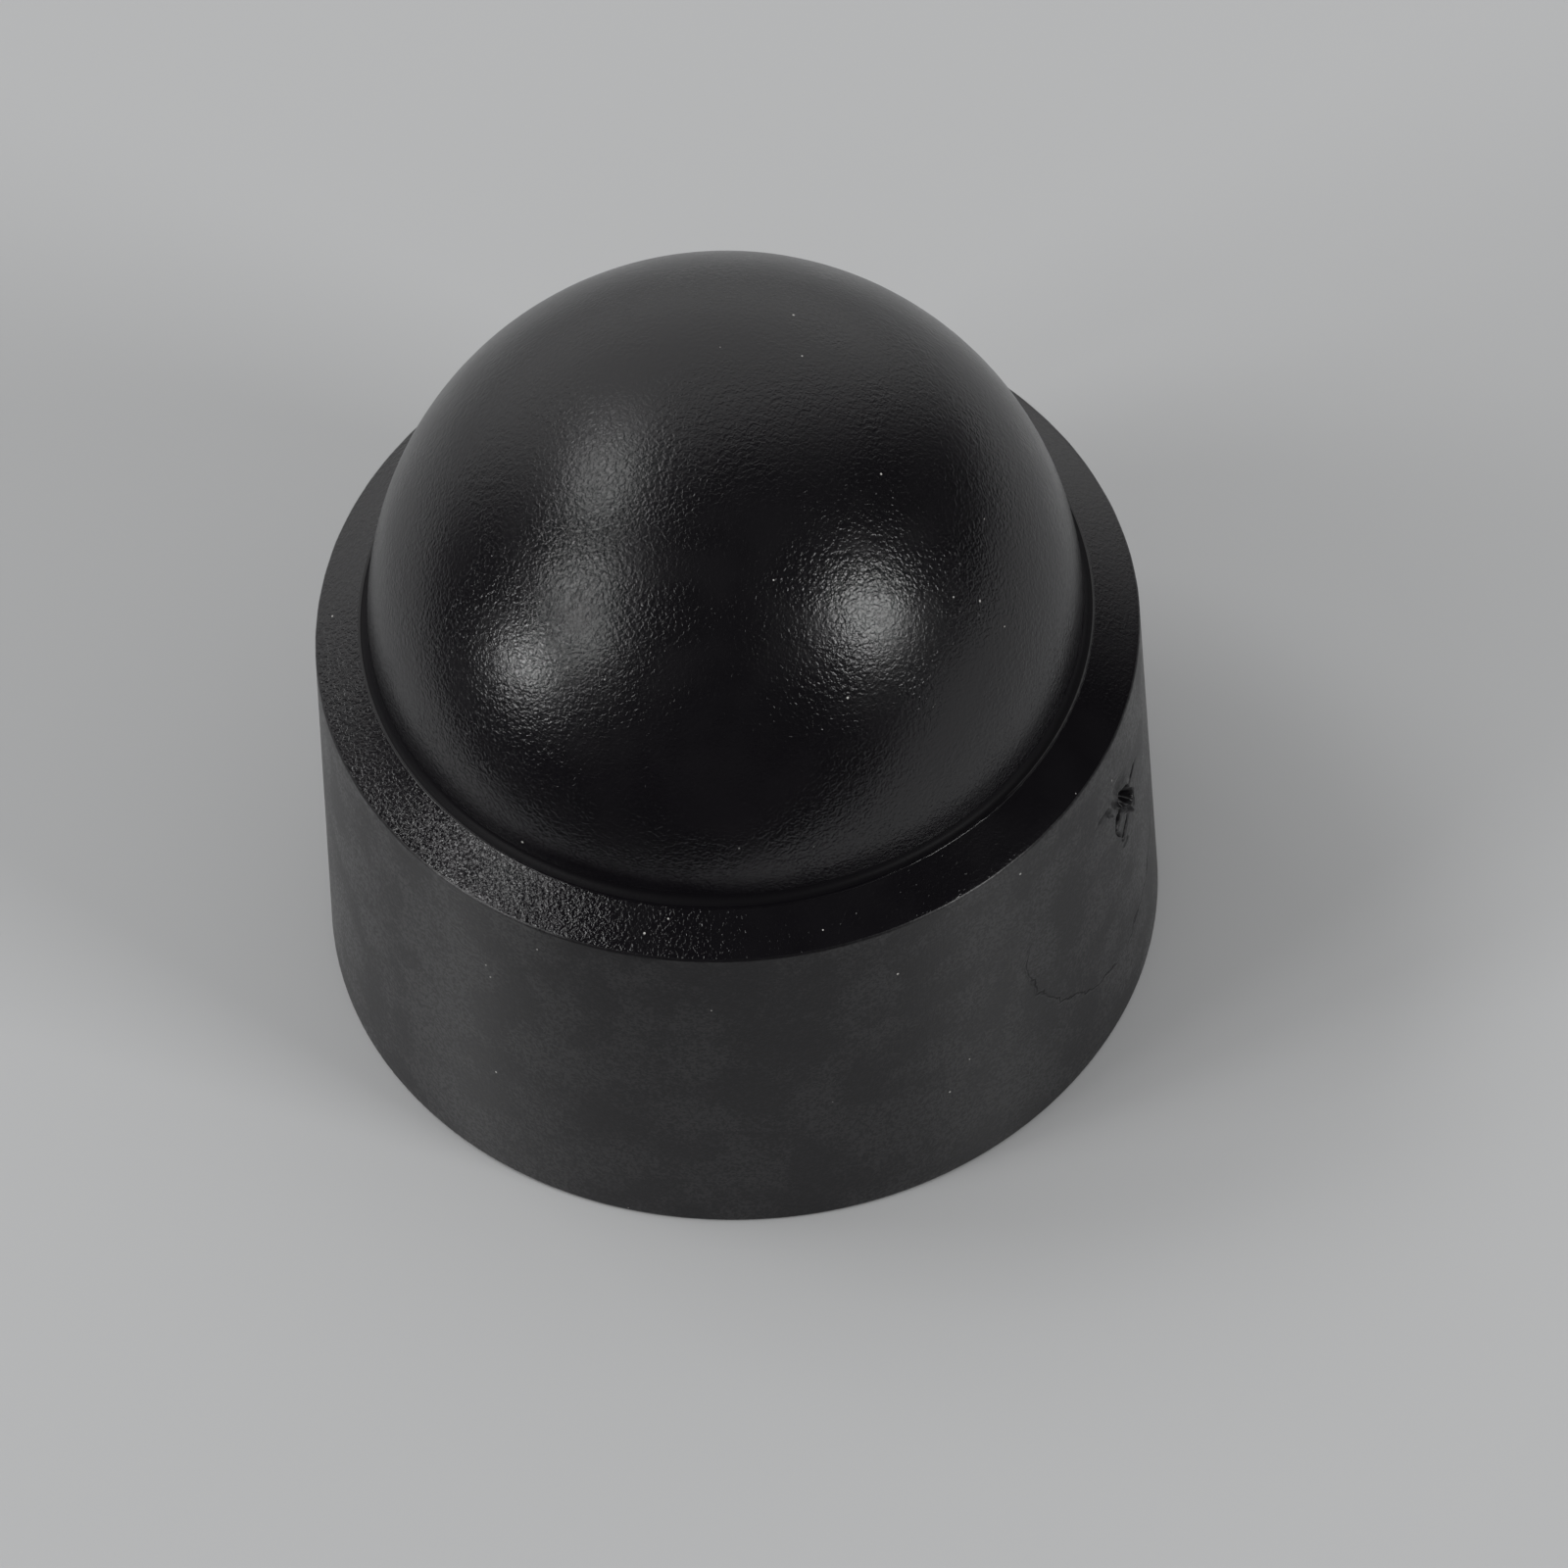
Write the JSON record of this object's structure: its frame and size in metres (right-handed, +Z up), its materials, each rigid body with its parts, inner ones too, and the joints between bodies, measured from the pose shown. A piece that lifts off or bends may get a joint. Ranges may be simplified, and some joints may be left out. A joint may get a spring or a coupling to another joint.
{
  "type": "plastic bolt cap",
  "caption": "Push-on protective cap with a round skirt, a sloping shoulder and a domed top; a hexagon socket inside goes over a nut or bolt head and the dome clears the bolt's end.",
  "frame": {"origin": "centre of the open end, in the plane that the cap rests on", "axes": "+Z up the cap's axis through the dome; +X through a corner of the hexagon socket; the gate scar is 30 degrees clockwise from +X seen from above, at the middle of a flat"},
  "size_m": [0.018, 0.018, 0.0178],
  "materials": {
    "black_plastic": "satin moulded polyethylene, finely spark-eroded on the dome and coarser on the shoulder, drag-polished on the skirt"
  },
  "bodies": {
    "root": {"cap": "black_plastic"}
  },
  "joints": []
}
